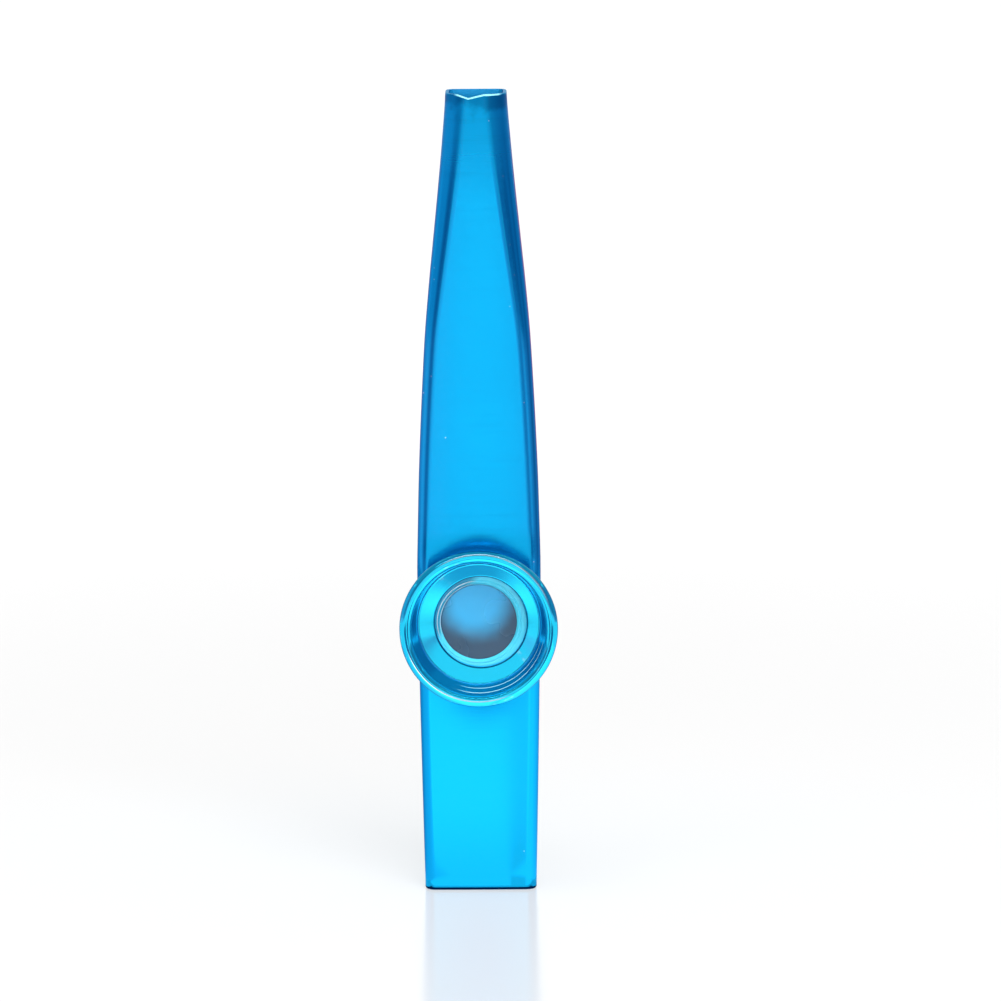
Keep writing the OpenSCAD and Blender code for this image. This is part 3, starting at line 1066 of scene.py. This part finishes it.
# Thin translucent film, with painted light at the upper left, painted shade towards the lower right, and a
# painted shadow round its edge under the ring
def makeFilmMaterial():
    material, tree, shader = newMaterial("membraneFilm")
    place = objectPlace(tree)
    parts = split(tree, place)
    paintedLightX, paintedLightZ = film["paintedLightAt"]
    across = calc(tree, "SUBTRACT", parts["X"], paintedLightX * mm)
    up = calc(tree, "SUBTRACT", parts["Z"], (paintedLightZ + turret["height"]) * mm)
    flat = addNode(tree, "CombineXYZ")
    link(tree, across, flat.inputs["X"])
    link(tree, up, flat.inputs["Z"])
    off = lengthOf(tree, flat.outputs[0])
    cloud = noise(tree, place, film["cloudScale"], 2.0)
    uneven = calc(tree, "SUBTRACT", cloud, 0.5)
    uneven = times(tree, uneven, film["cloudReach"] * mm)
    off = calc(tree, "ADD", off, uneven)
    paintedLight = ramp(tree, off, film["paintedLightInner"] * mm, film["paintedLightOuter"] * mm, 1, 0)
    tinted = mixColours(tree, paintedLight, film["paintedDark"], film["light"])
    rim = split(tree, turnedPlace(tree, place))
    low, high = ((turret["windowRadius"] + step) * mm for step in film["rimFade"])
    # Painted shadow round the film's edge under the ring
    rimShadow = ramp(tree, rim["X"], low, high)
    link(tree, mixColours(tree, rimShadow, tinted, film["edge"]), shader.inputs["Base Color"])
    rough = film["roughness"]
    haze = ramp(tree, cloud, 0.35, 0.65, rough * 0.85, rough)
    link(tree, haze, shader.inputs["Roughness"])
    fine = noise(tree, place, film["grainScale"], 3.0)
    addBump(tree, fine, shader, film["grainHeight"], film["grainDistance"])
    shader.inputs["IOR"].default_value = film["ior"]
    shader.inputs["Transmission Weight"].default_value = film["clear"]
    return material


clearPlastic, filmMaterial = makeClearPlastic(), makeFilmMaterial()

for piece, material, body, node, slot in (
        (tubePiece, tubeMetal, "root", "body_tube", "blue_anodised"),
        (collarPiece, capMetal, "root", "turret_collar", "blue_anodised"),
        (lowerRing, clearPlastic, "membrane", "membrane_ring", "clear_plastic"),
        (filmPiece, filmMaterial, "membrane", "membrane_film", "membrane_film"),
        (upperRing, clearPlastic, "membrane", "membrane_hoop", "clear_plastic"),
        (capPiece, capMetal, "cap", "screw_cap", "blue_anodised")):
    piece.data.materials.clear()
    piece.data.materials.append(material)
    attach(piece, body)
    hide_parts(node)
print("materials set")

# Studio: distances in metres, tones as pairs of azimuth in degrees and strength
studio = {
    "floorSize": 12,
    "floorUnseen": 0.7,
    "floorGrey": 0.30,
    "floorGlow": 0.72,
    "farGlow": 1.0,
    # nearTint: bluish floor near the part, painted blue light thrown from the part
    "nearTint": (0.965, 1.01, 1.04, 1),
    "nearFloor": 0.12,
    "farFloor": 0.6,
    "floorGloss": 0.32,
    "floorGlossRoughness": 0.16,
    "worldFill": 0.35,
    "cardNear": 0.012,
    "cardMiddle": 0.19,
    "cardFar": 0.42,
    "cardOuter": 2.4,
    "cardTop": 1.2,
    "cardHeight": 0.0006,
    "farRed": 3,
    "leftWall": [(-140, 0.4), (-112, 0.65), (-100, 0.48), (-78, 0.45), (-64, 0.45), (-54, 0.25),
                 (-44, 0.17), (-24, 0.2)],
    "rightWall": [(24, 0.17), (66, 0.17), (80, 0.27), (90, 0.22), (100, 0.2), (112, 0.33), (140, 0.3)],
    "cardBlue": 1.15,
    "poolNear": 0.06,
    "poolFar": 0.25,
    "poolAhead": 0.25,
    "poolBehind": 0.0064,
    "contactMargin": 1.05,
    "contactHeight": 0.03,
    "contactShadowColour": (0.01, 0.03, 0.08),
    "roofSide": 2.6,
    "roofBack": 1.1,
    "roofHeight": 1.45,
    "roofColour": (0.2, 0.3, 0.4),
    "cupShade": ((0, -0.0716, 0.0200), 0.0118, (0.35, 0.5, 0.7)),
    "leftNear": [(-180, 0.2), (-150, 0.3), (-111, 0.6), (-93, 0.8), (-78, 0.9), (-64, 0.95),
                 (-51, 1.0), (-39, 1.1), (-24, 1.3)],
    "rightNear": [(22, 1.5), (56, 1.48), (84, 1.2), (119, 0.9), (150, 0.5), (180, 0.3)],
    "leftMiddle": [(-180, 0.2), (-150, 0.25), (-115, 0.4), (-104, 0.3), (-80, 0.3), (-70, 0.45),
                   (-44, 0.45), (-34, 0.2), (-24, 0.2)],
    "rightMiddle": [(24, 0.17), (66, 0.17), (80, 0.3), (100, 0.3), (110, 0.5), (120, 0.4),
                    (150, 0.25), (180, 0.2)],
    "leftFar": [(-180, 0.2), (-150, 0.3), (-125, 0.48), (-105, 0.6), (-88, 0.8), (-75, 0.78), (-64, 0.62),
                (-52, 0.34), (-40, 0.3), (-30, 0.44), (-20, 0.72), (-12, 0.88), (-3, 1.1)],
    "rightFar": [(3, 0.98), (8, 0.64), (15, 0.4), (24, 0.38), (32, 0.48), (40, 0.68), (48, 0.78),
                 (56, 0.66), (64, 0.49), (74, 0.42), (86, 0.28), (97, 0.2), (110, 0.27), (125, 0.36),
                 (150, 0.28), (180, 0.2)],
}

# Lamps: azimuth, elevation, distance, size and power
lamps = {
    "keySoft": (18, 40, 1.2, (0.6, 0.4), 9),
    "frontSoft": (8, 12, 1.3, (0.9, 0.4), 8),
    "topSoft": (-10, 66, 1.2, (0.9, 0.5), 9),
}

# Bright strips: elevation, distance, length, depth and strength
strips = {
    "frontStrip": (53, 1.1, 1.5, 0.03, 6),
    "backStrip": (127, 1.1, 1.4, 0.06, 5),
}

# Bright patches of floor: left and right at the front and at the back, height and tone
pools = {
    "poolCard": ((-0.14, 0.0125), (-0.03, 0.0045), 0.0003, 1.7),
    "edgePool": ((0.030, 0.102), (0.0068, 0.0125), 0.0003, 1.68),
    "facePool": ((-0.14, 0.102), (-0.03, 0.0125), 0.0002, 1.32),
}

# Upright flags: start and end across and back, low and high, in millimetres, and a colour
uprights = {
    "cupGlow": ((-16, -75), (16, -75), 35.5, 43, (0.92, 1, 1.05)),
    "leftWallFlag": ((4.5, -46), (24, -46), 29, 37.5, (0.08, 0.13, 0.28)),
    "rightWallFlag": ((-24, -46), (-4.5, -46), 29, 37.5, (0.08, 0.13, 0.28)),
    "leftFrontGlow": ((-42, -60), (-24, -60), 29, 40, (0.9, 1, 1.05)),
    "rightFrontGlow": ((24, -60), (42, -60), 29, 40, (0.9, 1, 1.05)),
    "leftLipGlow": ((-42, 25), (-42, -60), 26, 40.5, (0.9, 1, 1.05)),
    "rightLipGlow": ((42, -60), (42, 25), 26, 40.5, (0.9, 1, 1.05)),
}


# 1 for what the camera, a reflection or a clear piece sees, and 0 for soft light
def seenMask(tree):
    path = addNode(tree, "LightPath").outputs
    seen = calc(tree, "MAXIMUM", path["Is Camera Ray"], path["Is Glossy Ray"])
    return calc(tree, "MAXIMUM", seen, path["Is Transmission Ray"])


# A level rectangle's corners; it faces up, or down where the back comes first
def levelCorners(left, front, right, back, height):
    return [(left, front, height), (right, front, height), (right, back, height), (left, back, height)]


def makeFloor():
    half = studio["floorSize"] / 2
    floor = addMesh("floor", levelCorners(-half, -half, half, half, 0), [(0, 1, 2, 3)])
    material, tree, surface = emptyMaterial("floorWhite")
    shade = addNode(tree, "BsdfDiffuse")
    shade.inputs["Color"].default_value = (studio["floorGrey"],) * 3 + (1,)
    far = lengthOf(tree, objectPlace(tree))
    near, end = studio["nearFloor"], studio["farFloor"]
    level = ramp(tree, far, near, end, studio["floorGlow"], studio["farGlow"])
    glow = addNode(tree, "Emission")
    # Bluish near the part: painted blue light thrown from it
    tint = ramp(tree, far, near / 4, near, 1, 0)
    tint = mixColours(tree, tint, (1, 1, 1, 1), studio["nearTint"])
    link(tree, tint, glow.inputs["Color"])
    link(tree, level, glow.inputs["Strength"])
    white = addNode(tree, "AddShader")
    link(tree, shade.outputs[0], white.inputs[0])
    link(tree, glow.outputs[0], white.inputs[1])
    gloss = addNode(tree, "BsdfGlossy", Roughness=studio["floorGlossRoughness"])
    shown = mixShaders(tree, studio["floorGloss"], white, gloss)
    plain = addNode(tree, "BsdfDiffuse")
    plain.inputs["Color"].default_value = (studio["floorUnseen"],) * 3 + (1,)
    both = mixShaders(tree, seenMask(tree), plain, shown)
    link(tree, both.outputs[0], surface)
    floor.data.materials.append(material)


# A flag that only reflections see, and only from the side that its normal points to
def newFlag(name, points, faces):
    flag = addMesh(name, points, faces)
    flag.visible_camera = flag.visible_diffuse = flag.visible_shadow = False
    flag.visible_transmission = False
    return flag


def flagMaterial(flag, colour=(1, 1, 1), strength=1.0):
    material, tree, surface = emptyMaterial(flag.name)
    dim = addNode(tree, "Emission", Strength=strength)
    dim.inputs["Color"].default_value = tuple(colour) + (1,)
    clear = addNode(tree, "BsdfTransparent")
    side = addNode(tree, "NewGeometry")
    both = mixShaders(tree, side.outputs["Backfacing"], dim, clear)
    link(tree, both.outputs[0], surface)
    flag.data.materials.append(material)
    return tree, dim, both


def makeFlag(name, corners, colour, strength=1.0):
    flagMaterial(newFlag(name, corners, [(0, 1, 2, 3)]), colour, strength)


def makeUpright(name, start, end, low, high, colour):
    corners = [(*start, low), (*start, high), (*end, high), (*end, low)]
    makeFlag(name, [[c * mm for c in corner] for corner in corners], colour)


# A flat or standing card round the part: tones by azimuth, and a profile of radius and height
def makeCard(name, stops, profile, red=1):
    steps = 60
    low, high = stops[0][0], stops[-1][0]
    points = []
    for radius, height in profile:
        for i in range(steps + 1):
            a = math.radians(mix(low, high, i / steps))
            points.append((radius * math.sin(a), -radius * math.cos(a), height))
    row = steps + 1
    card = newFlag(name, points, [(i, i + 1, row + i + 1, row + i) for i in range(steps)])
    tree, dim = flagMaterial(card, strength=2)[:2]
    place = objectPlace(tree)
    parts = split(tree, place)
    ahead = times(tree, parts["Y"], -1)
    turn = calc(tree, "ARCTAN2", parts["X"], ahead)
    turn = calc(tree, "DIVIDE", turn, 2 * math.pi)
    turn = calc(tree, "ADD", turn, 0.5)
    tones = addNode(tree, "ValToRGB")
    link(tree, turn, tones.inputs[0])
    while len(tones.color_ramp.elements) < len(stops):
        tones.color_ramp.elements.new(0.5)
    for element, (azimuth, tone) in zip(tones.color_ramp.elements, stops):
        element.position = 0.5 + azimuth / 360
        element.color = (tone * 0.45 * red, tone * 0.5, pow(tone, 0.75) * studio["cardBlue"] / 2, 1)
    link(tree, tones.outputs[0], dim.inputs["Color"])


def makeWorld():
    world = bpy.data.worlds.new("studioWorld")
    scene.world = world
    world.use_nodes = True
    tree = world.node_tree
    tree.nodes.clear()
    out = addNode(tree, "OutputWorld")
    fill = addNode(tree, "Background", Strength=studio["worldFill"])
    white = addNode(tree, "Background", Strength=1.0)
    for node in (fill, white):
        node.inputs["Color"].default_value = (1, 1, 1, 1)
    both = mixShaders(tree, seenMask(tree), fill, white)
    link(tree, both.outputs[0], out.inputs["Surface"])


# A soft lamp at an azimuth, elevation and distance, facing the part
def makeLamp(name, azimuth, elevation, distance, size, power):
    light = bpy.data.lights.new(name, "AREA")
    light.shape = "RECTANGLE"
    light.size, light.size_y = size
    light.energy = power
    lamp = bpy.data.objects.new(name, light)
    scene.collection.objects.link(lamp)
    a, e = math.radians(azimuth), math.radians(elevation)
    toLamp = Vector((math.sin(a) * math.cos(e), -math.cos(a) * math.cos(e), math.sin(e)))
    lamp.location = Vector((0, 0, 0.05)) + toLamp * distance
    lamp.rotation_euler = toLamp.to_track_quat("Z", "Y").to_euler()
    lamp.visible_glossy = False


# A bright patch of floor in front of the part, which fades with distance
def makePool(name, front, back, height, tone):
    ahead, behind = -studio["poolAhead"], -studio["poolBehind"]
    corners = [(front[0], ahead), (front[1], ahead), (back[1], behind), (back[0], behind)]
    card = newFlag(name, [(x, y, height) for x, y in corners], [(0, 1, 2, 3)])
    tree, glow = flagMaterial(card)[:2]
    far = lengthOf(tree, objectPlace(tree))
    near, end = studio["poolNear"], studio["poolFar"]
    rise = ramp(tree, far, near * 0.1, near, 0.84 * tone, tone)
    fall = ramp(tree, far, end * 0.55, end, tone, 1)
    link(tree, calc(tree, "MINIMUM", rise, fall), glow.inputs["Strength"])


# A soft-edged round flag that faces the part: middle and radius in metres
def makeShade(name, middle, radius, colour):
    x, y, z = middle
    corners = [(x + radius * a, y, z + radius * b) for a, b in ((1, -1), (-1, -1), (-1, 1), (1, 1))]
    tree, _, both = flagMaterial(newFlag(name, corners, [(0, 1, 2, 3)]), colour)
    off = addNode(tree, "VectorMath", operation="SUBTRACT")
    link(tree, objectPlace(tree), off.inputs[0])
    off.inputs[1].default_value = middle
    reach = lengthOf(tree, off.outputs[0])
    faded = ramp(tree, reach, radius * 0.3, radius)
    behind = both.inputs[0].links[0].from_socket
    link(tree, calc(tree, "MAXIMUM", behind, faded), both.inputs[0])


# A long bright strip that only reflections see, across the part at an elevation: metres and degrees
def makeStrip(name, elevation, distance, length, depth, strength):
    e = math.radians(elevation)
    middle = Vector((0, -math.cos(e), math.sin(e))) * distance + Vector((0, 0, 0.045))
    rise = Vector((0, math.sin(e), math.cos(e))) * depth / 2
    side = Vector((length / 2, 0, 0))
    corners = [tuple(middle + side * a + rise * b) for a, b in ((-1, 1), (1, 1), (1, -1), (-1, -1))]
    makeFlag(name, corners, (1, 1, 1), strength)


makeFloor()
makeWorld()
for name, values in lamps.items():
    makeLamp(name, *values)
roofSide, roofBack = studio["roofSide"], studio["roofBack"]
roof = levelCorners(-roofSide, roofBack, roofSide, -roofSide, studio["roofHeight"])
makeFlag("roofFlag", roof, studio["roofColour"])
for name, values in strips.items():
    makeStrip(name, *values)
# A dark sheet on the floor under the mouth that only reflections see: a painted contact shadow
halfX, halfY = ((tube[name] / 2 + studio["contactMargin"]) * mm for name in ("mouthWidth", "mouthDepth"))
contact = levelCorners(-halfX, -halfY, halfX, halfY, studio["contactHeight"] * mm)
makeFlag("contactFlag", contact, studio["contactShadowColour"])
for name, values in pools.items():
    makePool(name, *values)
makeShade("cupShade", *studio["cupShade"])
for name, values in uprights.items():
    makeUpright(name, *values)
bounds = [studio[name] for name in ("cardNear", "cardMiddle", "cardFar", "cardOuter")]
low, outermost = studio["cardHeight"], studio["cardOuter"]
for side in ("left", "right"):
    for zone, inner, outer in zip(("Near", "Middle", "Far"), bounds, bounds[1:]):
        red = studio["farRed"] if zone == "Far" else 1
        makeCard(side + zone, studio[side + zone], [(outer, low), (inner, low)], red)
    makeCard(side + "Wall", studio[side + "Wall"], [(outermost, studio["cardTop"]), (outermost, low)])
print("studio made")

# Camera, as fitted to the photograph: millimetres and degrees
view = {
    "target": (3.27, 0, 58.48),
    "distance": 1200,
    "azimuth": 0.31,
    "elevation": 9.07,
    "roll": -0.37,
    "lens": 288.24,
    "sensorWidth": 36,
    "clipRange": (0.05, 50),
}


def makeCamera():
    a, e, roll = (math.radians(view[k]) for k in ("azimuth", "elevation", "roll"))
    back = Vector((math.sin(a) * math.cos(e), -math.cos(a) * math.cos(e), math.sin(e)))
    side = (-back).cross(Vector((0, 0, 1))).normalized()
    rise = side.cross(-back)
    right = side * math.cos(roll) + rise * math.sin(roll)
    up = rise * math.cos(roll) - side * math.sin(roll)
    data = bpy.data.cameras.new("camera")
    data.lens, data.sensor_width = view["lens"], view["sensorWidth"]
    data.clip_start, data.clip_end = view["clipRange"]
    camera = bpy.data.objects.new("camera", data)
    scene.collection.objects.link(camera)
    turn = Matrix((right, up, back)).transposed().to_4x4()
    place = (Vector(view["target"]) + back * view["distance"]) * mm
    camera.matrix_world = Matrix.Translation(place) @ turn
    scene.camera = camera


# Sets a tree's nodes in columns, by how many steps each one stands before the output
def arrange(tree):
    columns = {node.name: 0 for node in tree.nodes}
    moved = True
    while moved:
        moved = False
        for wire in tree.links:
            start, end = wire.from_node.name, wire.to_node.name
            if columns[start] <= columns[end]:
                columns[start] = columns[end] + 1
                moved = True
    rows = {}
    for node in tree.nodes:
        column = columns[node.name]
        rows[column] = rows.get(column, 0) + 1
        node.location = (-220 * column, -200 * rows[column])


makeCamera()
for owner in [*bpy.data.materials, scene.world]:
    if owner.node_tree:
        arrange(owner.node_tree)
for group in (fineLines, tinyMarks, edgeWear):
    arrange(group)
scene.view_settings.view_transform = "Standard"
